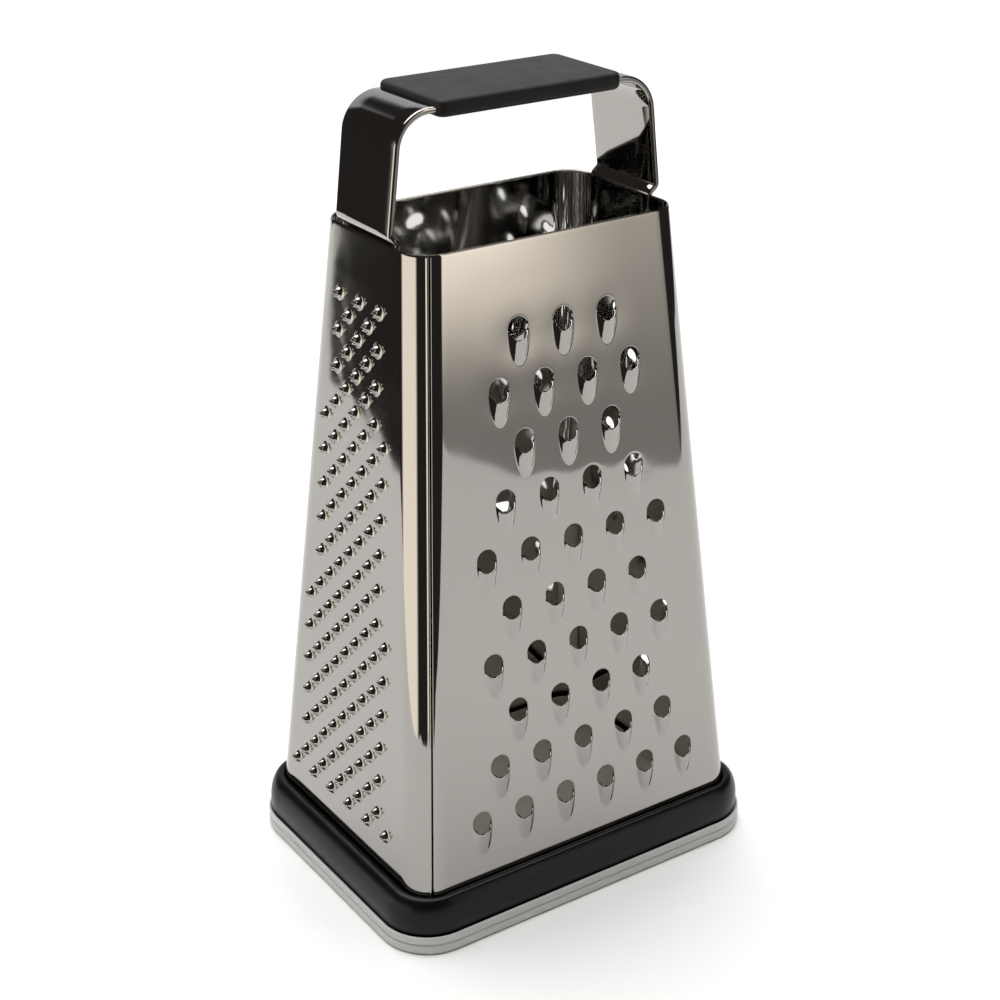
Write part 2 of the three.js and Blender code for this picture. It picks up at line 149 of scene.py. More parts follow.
def sheet_corners():
    """For each bent run of the sheet: the signs of its corner, its angles in degrees and its insets. The
    first run starts as the tucked flange and steps out beside the seam. The last run flares out a little
    before the seam, and its cut end curls in like a deburred edge."""
    seam = 180 + SEAM_DEG
    flange = np.linspace(seam - LAP_DEG, seam, END_STEPS)
    step = np.linspace(0, 1, LAP_STEPS + 1)
    rest = np.linspace(seam + LAP_STEP_DEG, 270, END_STEPS)
    start = np.concatenate([flange, seam + LAP_STEP_DEG * step[1:], rest[1:]])
    stepped = (SHEET + LAP_GAP) * (1 - smoothstep(seam, seam + LAP_STEP_DEG, start))
    curl = np.radians(np.linspace(0, CURL_TURN_DEG, CURL_STEPS + 1))[1:]
    flare = seam - FLARE_DEG * (1 - step)
    before = np.linspace(180, flare[0], END_STEPS)[:-1]
    end = np.concatenate([before, flare, seam + CURL_DEG * np.sin(curl)])
    flared = -FLARE * smoothstep(flare[0], seam, end)
    curled = flared + np.append(np.zeros(len(end) - CURL_STEPS), CURL * (1 - np.cos(curl)))
    turn = np.linspace(0, 90, CORNER_STEPS + 1)
    return [
        ((-1, -1), start, stepped),
        ((1, -1), turn + 270, 0 * turn),
        ((1, 1), turn, 0 * turn),
        ((-1, 1), turn + 90, 0 * turn),
        ((-1, -1), end, curled),
    ]


def sheet_levels(t):
    """Points (levels, columns, 3) of the outer surface at height shares t, and the outward direction of
    each column in plan. A corner's point is its centre plus radius times (cos, sin); a flat face's
    points divide the straight line between its two corners evenly. The spans leave the outermost step of
    a face to the corners, so that these meet flat steel in even quads."""
    t = np.asarray(t, float)[:, None]
    radius = lerp(BOTTOM_RADIUS, TOP_RADIUS, t)
    half_length = lerp(BOTTOM_LENGTH, TOP_LENGTH, t) / 2 - radius
    half_width = lerp(BOTTOM_WIDTH, TOP_WIDTH, t) / 2 - radius
    z = lerp(BODY_BOTTOM_Z, BODY_BOTTOM_Z + BODY_HEIGHT, t)
    arcs = []
    ways = []
    for (sign_x, sign_y), degrees, inset in sheet_corners():
        angle = np.radians(degrees)
        way = np.stack([np.cos(angle), np.sin(angle)], -1)
        x = sign_x * half_length + (radius - inset) * way[:, 0]
        y = sign_y * half_width + (radius - inset) * way[:, 1]
        arcs.append(np.stack([x, y, np.broadcast_to(z, x.shape)], -1))
        ways.append(way)
    points = [arcs[0]]
    outward = [ways[0]]
    spans = {}
    for i, (name, count) in enumerate(FACE_STEPS.items()):
        share = (np.arange(1, count) / count)[:, None]
        first = sum(p.shape[1] for p in points) - 1
        spans[name] = slice(first + 1, first + count)
        points += [lerp(arcs[i][:, -1:], arcs[i + 1][:, :1], share), arcs[i + 1]]
        outward += [np.repeat(ways[i][-1:], count - 1, 0), ways[i + 1]]
    return np.concatenate(points, 1), np.concatenate(outward, 0), spans


RIM_BAND = 2.2
LEVELS = 50
band_share = RIM_BAND / BODY_HEIGHT
wall_shares = np.linspace(0, 1 - band_share, LEVELS + 1)
wall, outward, spans = sheet_levels(wall_shares)
print("columns round the sheet:", wall.shape[1], "levels:", wall.shape[0], "faces:", spans)

# %% [markdown]
# ## The four faces
#
# Each face leans inwards. Its own frame has u to the right seen from outside, v up the slope and w
# outwards, so a tooth can be drawn once in its own plane and put on any face.

# %% Face frames
FACE_TURN = {"front": 0, "right": 90, "back": 180, "left": 270}


def face_frame(name):
    """Origin and axes of a face, its slope length, its half width outside at height v, and the half
    width there of the flat part that its span covers."""
    sideways = name in ("right", "left")
    bottom, top = (BOTTOM_LENGTH, TOP_LENGTH) if sideways else (BOTTOM_WIDTH, TOP_WIDTH)
    wide_bottom, wide_top = (BOTTOM_WIDTH, TOP_WIDTH) if sideways else (BOTTOM_LENGTH, TOP_LENGTH)
    lean = np.arctan2((bottom - top) / 2, BODY_HEIGHT)
    turn = np.radians(FACE_TURN[name])
    spin = np.array([[np.cos(turn), -np.sin(turn), 0], [np.sin(turn), np.cos(turn), 0], [0, 0, 1]])
    axes = spin @ np.array([
        [1, 0, 0],
        [0, np.sin(lean), -np.cos(lean)],
        [0, np.cos(lean), np.sin(lean)],
    ])
    slope = BODY_HEIGHT / np.cos(lean)
    inner = 1 - 2 / FACE_STEPS[name]
    flat_bottom = inner * (wide_bottom / 2 - BOTTOM_RADIUS)
    flat_top = inner * (wide_top / 2 - TOP_RADIUS)
    return {
        "origin": spin @ np.array([0, -bottom / 2, BODY_BOTTOM_Z]),
        "axes": axes,
        "slope": slope,
        "outside": lambda v: lerp(wide_bottom, wide_top, v / slope) / 2,
        "flat": lambda v: lerp(flat_bottom, flat_top, v / slope),
    }


faces = {name: face_frame(name) for name in FACE_TURN}


def to_face(face, points):
    """Points of the model in the face's own u, v, w."""
    return (points - face["origin"]) @ face["axes"]


def from_face(face, points):
    """Points in a face's u, v, w back in the model."""
    return face["origin"] + points @ face["axes"].T


print({name: round(float(face["slope"]), 2) for name, face in faces.items()})

# %% [markdown]
# ## Punched teeth
#
# A tooth is punched and pressed in one stroke. A coarse tooth is a round hole whose lower edge is
# pushed out into a lip, with a scoop that runs down from the lip to nothing. A fine tooth is a burst:
# a blunt spike tears the sheet and leaves a little crown of four petals. Both are grids in polar form,
# with rays from the hole's edge to the outline of the pressed area and on to a flat foot, and the
# height over the sheet is a function of the ray and of how far along it a point lies.

# %% Tooth surfaces
SHOULDER = 0.2
FLANK = 1.6
LIP_FILLET = 0.15
TIP_FILLET = 1.8
FOOT = 0.5
ROLL = 0.12
ROLL_WIDTH = 0.3
SIDE_RAYS = 0.18
SLOT_POWER = 8
FLANK_FADE = (0.1, 0.6)
SOFTNESS = 4
PETAL_REACH = 0.1
PETAL_RISE = 0.24
BURST_FALL = 1.2
BURST_FOOT = 0.4
TORN_SHARE = 0.45


def superellipse(angle, half_width, up, down, power):
    """Points at |x/a|^p + |y/b|^p = 1, where b is up above the middle and down below it."""
    c, s = np.cos(angle), np.sin(angle)
    x = half_width * np.sign(c) * np.abs(c) ** (2 / power)
    y = np.where(s > 0, up, down) * np.sign(s) * np.abs(s) ** (2 / power)
    return np.stack([x, y], -1)


def ray_grid(hole, outline, foot, shares):
    """Plan points (rings, rays, 2): the given shares from hole to outline, then a last ring on the foot."""
    inner = lerp(hole[None], outline[None], np.asarray(shares)[:, None, None])
    return np.concatenate([inner, foot[None]])


def scoop(hole, lip, length, rays, shares, slot=0.0):
    """A pressed scoop below a round hole, or below a slot whose half length is larger than its half
    height by slot. Its height is a soft minimum of two slopes: a ramp that falls evenly from the lip to
    the tip, and a flank that rises from the outline with a fillet that grows from lip to tip. The hole's
    upper edge is rolled in a little, and a round hole has more rays at its sides, where the flanks are
    steep."""
    turn = np.linspace(0, 2 * np.pi, rays, endpoint=False)
    angle = np.radians(-90) + turn + (SIDE_RAYS * np.sin(2 * turn) if slot == 0 else 0)
    radius = hole / 2
    depth = radius + length
    half_width = radius + slot + SHOULDER
    top = radius + ROLL_WIDTH
    power = 2 if slot == 0 else SLOT_POWER
    plan = ray_grid(
        superellipse(angle, radius + slot, radius, radius, power),
        superellipse(angle, half_width, top, depth, power),
        superellipse(angle, half_width + FOOT, top + FOOT, depth + FOOT, power),
        shares,
    )
    r = np.append(shares, 1)[:, None]
    down = -plan[..., 1]
    ramp = lip * np.clip((depth - down) / length, 0.001, 1)
    outline = half_width * (1 - np.clip(down / depth, 0, 1) ** power) ** (1 / power)
    side = np.clip(outline - np.abs(plan[..., 0]), 0, None)
    fillet = lerp(LIP_FILLET, TIP_FILLET, np.clip(down / depth, 0, 1))
    flank = FLANK * side ** 2 / (side + fillet) * smoothstep(*FLANK_FADE, down / radius)
    raised = flank / (1 + (flank / ramp) ** SOFTNESS) ** (1 / SOFTNESS)
    raised[-2:] = 0
    rolled = ROLL * np.sqrt(np.clip(np.sin(angle), 0, 1)) * (1 - r) ** 2
    height = raised - rolled
    return np.concatenate([plan, height[..., None]], -1), np.ones(height.shape)


def burst(base, crown, height, rays, shares):
    """A torn crown of four petals: radius and height of its edge swing with the cosine of four times the
    angle, and the flank falls to the sheet as a power of 1 - r. The steel is drawn out thinner towards
    the torn edge."""
    angle = np.linspace(0, 2 * np.pi, rays, endpoint=False)
    petal = np.cos(4 * angle)
    way = np.stack([np.cos(angle), np.sin(angle)], -1)
    edge = way * (crown / 2 * (1 - PETAL_REACH * petal))[:, None]
    plan = ray_grid(edge, way * base / 2, way * (base / 2 + BURST_FOOT), shares)
    r = np.append(shares, 1)[:, None]
    top = height * (1 - PETAL_RISE + PETAL_RISE * petal) * (1 - r) ** BURST_FALL
    thin = lerp(TORN_SHARE, 1.0, r) * np.ones(rays)
    return np.concatenate([plan, top[..., None]], -1), thin


def staggered(face, top, foot, row, pitch, side, shift):
    """Places (u, v) in rows from the rim down to the foot, each row shifted by half a pitch against the
    last, with as many places as the margin at the side leaves."""
    places = []
    for j in range(int((face["slope"] - top - foot) // row) + 1):
        v = face["slope"] - top - j * row
        odd = j % 2
        most = int(np.floor((face["outside"](v) - side) / pitch - odd / 2))
        k = np.arange(-most - odd, most + 1)
        places.append(np.stack([(k + odd / 2) * pitch + shift, np.full(len(k), v)], -1))
    return np.concatenate(places)


ring_top = node_box("base_ring")[1][2] - BODY_BOTTOM_Z
SCOOP_SHARES = [0, 0.05, 0.14, 0.27, 0.42, 0.58, 0.74, 0.88, 1]
coarse = scoop(hole=6.6, lip=1.4, length=7.2, rays=42, shares=SCOOP_SHARES)
medium = scoop(hole=4.5, lip=1.1, length=5.2, rays=32, shares=SCOOP_SHARES[::2])
fine = burst(base=4.1, crown=2.1, height=2.0, rays=16, shares=[0, 0.22, 0.55, 1])
slicer = scoop(hole=5.0, lip=1.8, length=9.0, rays=56, shares=SCOOP_SHARES[::2], slot=24.6)

front_places = staggered(faces["front"], top=24.4, foot=ring_top + 12.8, row=16, pitch=14.9,
                         side=19.2, shift=1.5)
right_places = staggered(faces["right"], top=27, foot=ring_top + 10.55, row=13.6, pitch=13,
                         side=14.5, shift=0)
left_places = staggered(faces["left"], top=19.4, foot=ring_top + 8, row=5.35, pitch=10.6,
                        side=15.12, shift=-2.5)
SLOT_COUNT = 4
SLOT_DROP = 41.5
SLOT_ROW = 36
slot_v = faces["back"]["slope"] - SLOT_DROP - SLOT_ROW * np.arange(SLOT_COUNT)
back_places = np.stack([np.zeros(SLOT_COUNT), slot_v], -1)
print("teeth:", len(front_places), len(right_places), len(left_places), len(back_places))

# %% [markdown]
# ## Flat steel between the teeth
#
# The rest of a face is flat sheet with a hole for the foot of every tooth. A constrained Delaunay
# triangulation fills it: it takes the face's edge, the feet and a loose lattice of points, and gives
# well-shaped triangles. Punching pulls the sheet in a little round every tooth, and the sheet is never
# quite flat, so the same gentle dents and waves are added to all points of the face. They are only
# hundredths of a millimetre, but they are what bends the reflections.

# %% Faces with teeth
DENT_BELOW = 3.0
WAVES = [(0.02, 13, 29), (0.015, -23, 17)]
SIDE_FADE = 9.0
FOOT_FADE = 12.0
RIM_FADE = 10.0
LATTICE = 3.2
LATTICE_ROW = 0.87 * LATTICE
LATTICE_HALF = 80.0
EDGE_CLEAR = 0.6 * LATTICE
TOOTH_CLEAR = 0.9
ROUND_POWER = 2.4


def sheet_waves(face, places, dent, reach, u, v):
    """Height of dents and waves: a bell of depth dent at each tooth plus slow sine waves, faded out
    towards the edges of the face."""
    du = u[..., None] - places[:, 0]
    dv = v[..., None] - places[:, 1] + DENT_BELOW
    dents = -dent * np.exp(-(du ** 2 + dv ** 2) / reach ** 2).sum(-1)
    waves = sum(height * np.sin(u / across + v / along) for height, across, along in WAVES)
    sides = smoothstep(0, SIDE_FADE, face["flat"](v) - np.abs(u))
    foot = smoothstep(0, FOOT_FADE, v)
    rim = smoothstep(RIM_BAND, RIM_BAND + RIM_FADE, face["slope"] - v)
    return (dents + waves) * sides * foot * rim


def loose_lattice(face, places, foot, top_v):
    """Points (u, v) of a triangular lattice, clear of the edges of the face and of every tooth's foot."""
    u_row = np.arange(-LATTICE_HALF, LATTICE_HALF, LATTICE)
    v_rows = np.arange(LATTICE, top_v, LATTICE_ROW)
    u = (u_row + LATTICE / 2 * (np.arange(len(v_rows))[:, None] % 2)).ravel()
    v = np.repeat(v_rows, len(u_row))
    inside = (face["flat"](v) - np.abs(u) > EDGE_CLEAR) & (top_v - v > EDGE_CLEAR)
    points = np.stack([u, v], -1)[inside]
    low, high = foot.min(0), foot.max(0)
    keep_out = (high - low) / 2 + TOOTH_CLEAR
    power = ROUND_POWER if keep_out[0] < 2 * keep_out[1] else SLOT_POWER
    away = (points[:, None] - places - (low + high) / 2) / keep_out
    return points[(np.abs(away) ** power).sum(-1).min(-1) > 1]


def flat_between(border, feet, lattice):
    """Points (u, v) and triangles of the flat inside the border and outside the feet (teeth, rays, 2). A
    triangle whose corners all lie on one foot covers that tooth, so it is left out."""
    count, rays = feet.shape[:2]
    points = np.concatenate([border, feet.reshape(-1, 2), lattice])
    tooth = np.full(len(points), -1)
    ring = len(border) + np.arange(count * rays).reshape(count, rays)
    tooth[ring] = np.arange(count)[:, None]
    loop = np.arange(len(border))
    edges = np.concatenate([np.stack([loop, np.roll(loop, -1)], -1),
                            np.stack([ring, np.roll(ring, -1, 1)], -1).reshape(-1, 2)])
    result = delaunay_2d_cdt(points.tolist(), edges.tolist(), [], 1, 1e-5)
    source = np.array([ids[0] for ids in result[3]])
    triangles = source[np.array(result[2])]
    a, b, c = tooth[triangles].T
    return points, triangles[(a < 0) | (a != b) | (b != c)]


def toothed_face(name, tooth, places, dent, reach):
    """Points, faces and thickness of one face: the teeth's grids and the triangulated flat between them."""
    face = faces[name]
    grid, thin = tooth
    rings, rays = thin.shape
    teeth = np.concatenate([places, np.zeros((len(places), 1))], -1)[:, None, None] + grid
    columns = spans[name]
    left, right = wall[:, columns.start], wall[:, columns.stop - 1]
    edge = np.concatenate([wall[0, columns], right[1:], wall[-1, columns][-2::-1], left[-2:0:-1]])
    border = to_face(face, edge)[:, :2]
    lattice = loose_lattice(face, places, grid[-1, :, :2], border[:, 1].max())
    flat, triangles = flat_between(border, teeth[:, -1, :, :2], lattice)
    sheet = np.concatenate([flat, np.zeros((len(flat), 1))], -1)
    points = np.concatenate([sheet, teeth.reshape(-1, 3)])
    points[:, 2] += sheet_waves(face, places, dent, reach, points[:, 0], points[:, 1])
    tooth_faces = grid_faces(rings, rays, closed=True)[:, ::-1]
    offsets = len(sheet) + np.arange(len(places))[:, None, None] * rings * rays
    quads = (offsets + tooth_faces).reshape(-1, 4)
    thickness = np.concatenate([np.ones(len(sheet)), np.tile(thin.ravel(), len(places))])
    return from_face(face, points), [*triangles, *quads], thickness


parts = [
    toothed_face("front", coarse, front_places, dent=0.07, reach=6),
    toothed_face("right", medium, right_places, dent=0.05, reach=5),
    toothed_face("back", slicer, back_places, dent=0.07, reach=6),
    toothed_face("left", fine, left_places, dent=0.01, reach=2.5),
]
print("points and faces of each face:", [(len(p), len(f)) for p, f, _ in parts])

# %% [markdown]
# ## Corners, seam and rim
#
# Corners are plain grids between the faces. The top edge of the sheet was coined when it was cut: its
# last seven tenths of a millimetre turn inwards, which is why a bright line runs all round the rim. That
# band is one profile carried round every column of the sheet.

# %% Corners and the coined rim
COIN = 0.7
COIN_IN = 0.25
COIN_POWER = 1.7
COIN_SHARES = np.array([1.15, 0.93, 0.75, 0.55, 0.35, 0.18, 0.06, 0])
ABOVE_BAND = 1.5


def strip(points):
    """A grid of levels and columns as points, outward faces and full thickness."""
    rows, columns = points.shape[:2]
    return points.reshape(-1, 3), list(grid_faces(rows, columns)), np.ones(rows * columns)


span_ends = [edge for span in spans.values() for edge in (span.start, span.stop - 1)]
ends = [0, *span_ends, wall.shape[1] - 1]
for first, last in zip(ends[::2], ends[1::2]):
    parts.append(strip(wall[:, first:last + 1]))

drop = np.append([RIM_BAND, ABOVE_BAND], COIN * COIN_SHARES)
rim, _, _ = sheet_levels(1 - drop / BODY_HEIGHT)
turned_in = COIN_IN * np.clip(1 - drop / COIN, 0, 1) ** COIN_POWER
rim[..., :2] -= turned_in[:, None, None] * outward
parts.append(strip(rim))
print("strips:", len(parts) - 4, "rim levels:", len(drop))

# %% [markdown]
# ## Welding the sheet together
#
# Neighbouring patches repeat the points on their shared edges. Rounding every point to a fine step and
# keeping each one once joins the patches into a single sheet. A Solidify modifier then gives it 0.6 mm
# of steel towards the inside, less at the torn crowns of the fine teeth.

# %% One sheet
WELD_STEP = 0.002
WELD_SHIFT = 0.31


def welded(parts):
    """All parts as one list of points and faces, with equal points merged. The shift keeps round numbers
    away from the limits of the rounding."""
    points = np.concatenate([p for p, _, _ in parts])
    thickness = np.concatenate([t for _, _, t in parts])
    starts = np.cumsum([0] + [len(p) for p, _, _ in parts])
    keys = np.floor(points / WELD_STEP + WELD_SHIFT).astype(int)
    _, first, number = np.unique(keys, axis=0, return_index=True, return_inverse=True)
    number = number.ravel()
    joined = [number[np.asarray(f) + start] for (_, fs, _), start in zip(parts, starts) for f in fs]
    return points[first], joined, thickness[first]


points, sheet_faces, thickness = welded(parts)
steel_body = add_piece("steel_body", points, sheet_faces, "grater_body")
group = steel_body.vertex_groups.new(name="thickness")
levels_used = np.unique(np.round(thickness, 3))
for level in levels_used:
    group.add(np.flatnonzero(np.round(thickness, 3) == level).tolist(), float(level), "REPLACE")
solid = steel_body.modifiers.new("sheet", "SOLIDIFY")
solid.thickness = SHEET * MM
solid.offset = -1
solid.vertex_group = group.name
solid.material_offset = 1
print("thickness levels:", levels_used)

# %% [markdown]
# ## The strap handle
#
# The handle is one strip of polished steel. Its middle line runs up inside the end walls, steps out over
# the rim in a small S-bend, leans inwards and turns over into the bridge. A line with rounded corners
# is a list of arcs, and the strip is a rounded rectangle carried along that line.

# %% Strap
STRAP = 1.8
STRAP_WIDTH = 28.0
STRAP_EDGE = 0.6
STRAP_TUCK = 17.5
STEP_OUT = 1.55
JOG_START = 0.9
JOG_END = 2.9
JOG_BEND = 1.4
TOP_BEND = 10.3
LEAN_DEG = 6.8
WELD_GAP = 0.2


def rounded_line(corners, radii, steps):
    """Points of a line through the corners in which each inner corner becomes an arc of its radius that
    touches both sides."""
    line = [corners[:1]]
    for before, corner, after, radius in zip(corners, corners[1:], corners[2:], radii):
        back = (before - corner) / np.linalg.norm(before - corner)
        on = (after - corner) / np.linalg.norm(after - corner)
        half = np.arccos(back @ on) / 2
        centre = corner + (back + on) / np.linalg.norm(back + on) * radius / np.sin(half)
        start = corner + back * radius / np.tan(half) - centre
        turn = (np.pi - 2 * half) * np.sign(on[0] * back[1] - on[1] * back[0])
        angle = np.linspace(0, turn, steps + 1)[:, None]
        line.append(centre + np.cos(angle) * start + np.sin(angle) * np.array([-start[1], start[0]]))
    return np.concatenate(line + [corners[-1:]])


def evenly(line, spacing):
    """The same line with points at an even spacing."""
    length = np.append(0, np.cumsum(np.linalg.norm(np.diff(line, axis=0), axis=1)))
    stations = np.linspace(0, length[-1], int(length[-1] / spacing))
    return np.stack([np.interp(stations, length, axis) for axis in line.T], -1)


def rounded_rectangle(length, width, radius, steps, runs):
    """Loops (..., points, 2) round rectangles with round corners, counter-clockwise: each corner adds
    radius times (cos, sin) to its own centre, and runs points divide each straight side. Sizes may be
    arrays."""
    sizes = np.broadcast_arrays(*(np.asarray(size, float) for size in (length, width, radius)))
    length, width, radius = (size[..., None, None] for size in sizes)
    angle = np.arange(4)[:, None] * np.pi / 2 + np.linspace(0, np.pi / 2, steps + 1)
    sign_x = np.array([1, -1, -1, 1])[:, None]
    sign_y = np.array([1, 1, -1, -1])[:, None]
    x = sign_x * (length / 2 - radius) + radius * np.cos(angle)
    y = sign_y * (width / 2 - radius) + radius * np.sin(angle)
    arcs = np.stack([x, y], -1)
    share = (np.arange(1, runs + 1) / (runs + 1))[:, None]
    sides = lerp(arcs[..., -1:, :], np.roll(arcs[..., :1, :], -1, -3), share)
    loops = np.concatenate([arcs, sides], -2)
    return loops.reshape(*loops.shape[:-3], -1, 2)


rim_z = body_high[2]
end_lean = np.arctan2((BOTTOM_LENGTH - TOP_LENGTH) / 2, BODY_HEIGHT)
wall_to_middle = (SHEET + WELD_GAP + STRAP / 2) / np.cos(end_lean)
strap_top = node_box("handle_strap")[1][2] - STRAP / 2
leg_x = TOP_LENGTH / 2 + STEP_OUT - STRAP / 2
bridge_x = leg_x - (strap_top - rim_z - JOG_END) * np.tan(np.radians(LEAN_DEG))
tuck_x = TOP_LENGTH / 2 + STRAP_TUCK * np.tan(end_lean) - wall_to_middle
leg = np.array([
    [tuck_x, rim_z - STRAP_TUCK],
    [TOP_LENGTH / 2 - wall_to_middle, rim_z + JOG_START],
    [leg_x, rim_z + JOG_END],
    [bridge_x, strap_top],
])
corners = np.concatenate([leg, leg[::-1] * [-1, 1]])
bends = [JOG_BEND, JOG_BEND, TOP_BEND]
middle_line = evenly(rounded_line(corners, bends + bends[::-1], steps=40), 0.4)
along = np.gradient(middle_line, axis=0)
along /= np.linalg.norm(along, axis=1, keepdims=True)
left_of = np.stack([-along[:, 1], along[:, 0]], -1)
section = rounded_rectangle(STRAP, STRAP_WIDTH, STRAP_EDGE, steps=5, runs=4)
strap_points = np.stack([
    middle_line[:, None, 0] + left_of[:, None, 0] * section[:, 0],
    np.broadcast_to(section[:, 1], (len(middle_line), len(section))),
    middle_line[:, None, 1] + left_of[:, None, 1] * section[:, 0],
], -1)
strap_rows, strap_columns = strap_points.shape[:2]
caps = [np.arange(strap_columns), np.arange(strap_columns)[::-1] + (strap_rows - 1) * strap_columns]
strap_faces = [*grid_faces(strap_rows, strap_columns, closed=True)[:, ::-1], *caps]
strap = add_piece("polished_strap", strap_points, strap_faces, "handle_strap")

# %% [markdown]
# ## The rubber grip
#
# The grip is moulded round the bridge of the strap. Loops stacked from bottom to top give its rounded
# edges: a quarter turn of small loops growing outwards, the straight side, and a quarter turn back in.

# %% Grip
grip_low, grip_high = node_box("handle_grip")
GRIP_CORNER = 3.0
GRIP_EDGE = 1.5


def stack(inset, z, length, width, corner, steps):
    """Loops (rows, points, 3): a rounded rectangle drawn in by inset at each height z."""
    inset = np.asarray(inset, float)
    loops = rounded_rectangle(length - 2 * inset, width - 2 * inset, corner - inset, steps, runs=12)
    heights = np.broadcast_to(np.asarray(z, float)[:, None, None], loops.shape[:2] + (1,))
    return np.concatenate([loops, heights], -1)


def capped(loops):
    """Faces of a stack of loops, outward, with a flat cap at each end."""
    rows, columns = loops.shape[:2]
    caps = [np.arange(columns)[::-1], np.arange(columns) + (rows - 1) * columns]
    return [*grid_faces(rows, columns, closed=True), *caps]


quarter = np.linspace(0, np.pi / 2, 7)
edge_in = GRIP_EDGE * (1 - np.sin(quarter))
edge_up = GRIP_EDGE * (1 - np.cos(quarter))
grip_inset = np.concatenate([edge_in, edge_in[::-1]])
grip_z = np.concatenate([grip_low[2] + edge_up, grip_high[2] - edge_up[::-1]])
grip_size = grip_high - grip_low
grip_loops = stack(grip_inset, grip_z, grip_size[0], grip_size[1], GRIP_CORNER, steps=8)
grip = add_piece("rubber_grip", grip_loops, capped(grip_loops), "handle_grip")

# %% [markdown]
# ## The foot ring
#
# A black plastic ring holds the lower edge of the steel on a seat. Its outside rises from a ledge over
# the cover and rolls over to a crest beside the steel. The outline changes from the ring's own rounded
# rectangle to the steel's outline grown by a few millimetres, so each row blends the two.

# %% Ring
ring_low, ring_high = node_box("base_ring")
ring_size = ring_high - ring_low
RING_CORNER = 15.0
CREST_GROW = 1.6
VALLEY_GROW = 0.3
VALLEY_DROP = 0.9
SEAT_Z = BODY_BOTTOM_Z - 0.2
SEAT_INSET = 1.5
LEDGE_Z = 6.4
SHOULDER_Z = BODY_BOTTOM_Z + 4.5
SKIRT_INSET = 0.5


def ring_rows(size, corner, z):
    """Loops (rows, points, 3) of rounded rectangles with given lengths, widths, corners and heights."""
    loops = rounded_rectangle(size[..., 0], size[..., 1], corner, steps=12, runs=12)
    return np.concatenate([loops, np.broadcast_to(z[:, None, None], loops.shape[:2] + (1,))], -1)


def round_steel(z, grow):
    """Rows that follow the steel's outline at heights z, grown outwards."""
    t = (np.asarray(z, float) - BODY_BOTTOM_Z) / BODY_HEIGHT
    length = lerp(BOTTOM_LENGTH, TOP_LENGTH, t) + 2 * np.asarray(grow)
    width = lerp(BOTTOM_WIDTH, TOP_WIDTH, t) + 2 * np.asarray(grow)
    corner = lerp(BOTTOM_RADIUS, TOP_RADIUS, t) + np.asarray(grow)
    return ring_rows(np.stack([length, width], -1), corner, np.asarray(z, float))


def outer_rows(z, inset):
    """Rows that follow the ring's outer wall, drawn in by inset."""
    inset = np.asarray(inset, float)
    size = ring_size[:2] - 2 * inset[:, None]
    return ring_rows(size, RING_CORNER - inset, np.asarray(z, float))


roll = np.linspace(0, np.pi / 2, 10)[:, None, None]
shoulder = outer_rows([SHOULDER_Z], [0])
crest = round_steel([ring_high[2]], [CREST_GROW])
over = lerp(shoulder, crest, np.concatenate([1 - np.cos(roll), 1 - np.cos(roll), np.sin(roll)], -1))
lip_turn = np.linspace(0, np.pi / 2, 5)[1:]
valley_z = ring_high[2] - VALLEY_DROP * (1 - np.cos(lip_turn))
valley = round_steel(valley_z, lerp(CREST_GROW, VALLEY_GROW, np.sin(lip_turn)))
ring_loops = np.concatenate([
    outer_rows([ring_low[2], LEDGE_Z], [SKIRT_INSET, SKIRT_INSET]),
    outer_rows([LEDGE_Z, LEDGE_Z + 0.15, LEDGE_Z + 0.5], [0.35, 0.1, 0]),
    over,
    valley,
    round_steel([SEAT_Z, SEAT_Z, ring_low[2]], [VALLEY_GROW, -SEAT_INSET, -SEAT_INSET]),
])
ring_rows_count, ring_columns = ring_loops.shape[:2]
ring_quads = grid_faces(ring_rows_count + 1, ring_columns, closed=True) % (ring_rows_count * ring_columns)
ring = add_piece("foot_ring", ring_loops, ring_quads, "base_ring")

# %% [markdown]
# ## The frosted cover
#
# The cover is a shallow pan with a rounded bottom edge, a fine line round its wall and a rounded rim. A low
# lip on its floor centres the ring from inside. The pan is one profile, given as insets and heights, that
# is carried round a rounded rectangle, and the lip follows the outline of the steel.

# %% Cover
cover_low, cover_high = node_box("bottom_cover")
cover_size = cover_high - cover_low
COVER_CORNER = 15.9
COVER_EDGE = 1.2
COVER_WALL = 1.1
COVER_FLOOR = 1.4
LIP_INSET = 1.8
LIP_WALL = 0.8
LIP_TOP = 6.6
LIP_ROUND = 0.25
GROOVE = [[0, -0.35], [0.25, -0.15], [0.35, 0], [0.25, 0.15], [0, 0.35]]
GROOVE_Z = cover_high[2] - 2.7
RIM_ROUND = 0.3
PAN_ROUND = 0.8
lip_inside = LIP_INSET + LIP_WALL
turn = np.linspace(0, np.pi / 2, 6)
rim_turn = np.linspace(0, np.pi, 8)
cover_rows = np.concatenate([
    np.stack([COVER_EDGE * (1 - np.sin(turn)), COVER_EDGE * (1 - np.cos(turn))], -1),
    np.array(GROOVE) + [0, GROOVE_Z],
    np.stack([RIM_ROUND * (1 - np.cos(rim_turn)), cover_high[2] - RIM_ROUND * (1 - np.sin(rim_turn))], -1),
    [[COVER_WALL, cover_high[2] - 0.5]],
    [[COVER_WALL, COVER_FLOOR + PAN_ROUND], [COVER_WALL + PAN_ROUND, COVER_FLOOR]],
])
lip_rows = np.array([
    [LIP_INSET - LIP_ROUND, COVER_FLOOR],
    [LIP_INSET, COVER_FLOOR],
    [LIP_INSET, LIP_TOP - LIP_ROUND],
    [LIP_INSET + LIP_ROUND, LIP_TOP],
    [lip_inside - LIP_ROUND, LIP_TOP],
    [lip_inside, LIP_TOP - LIP_ROUND],
    [lip_inside, COVER_FLOOR + LIP_ROUND],
    [lip_inside + LIP_ROUND, COVER_FLOOR],
    [lip_inside + 1, COVER_FLOOR],
])
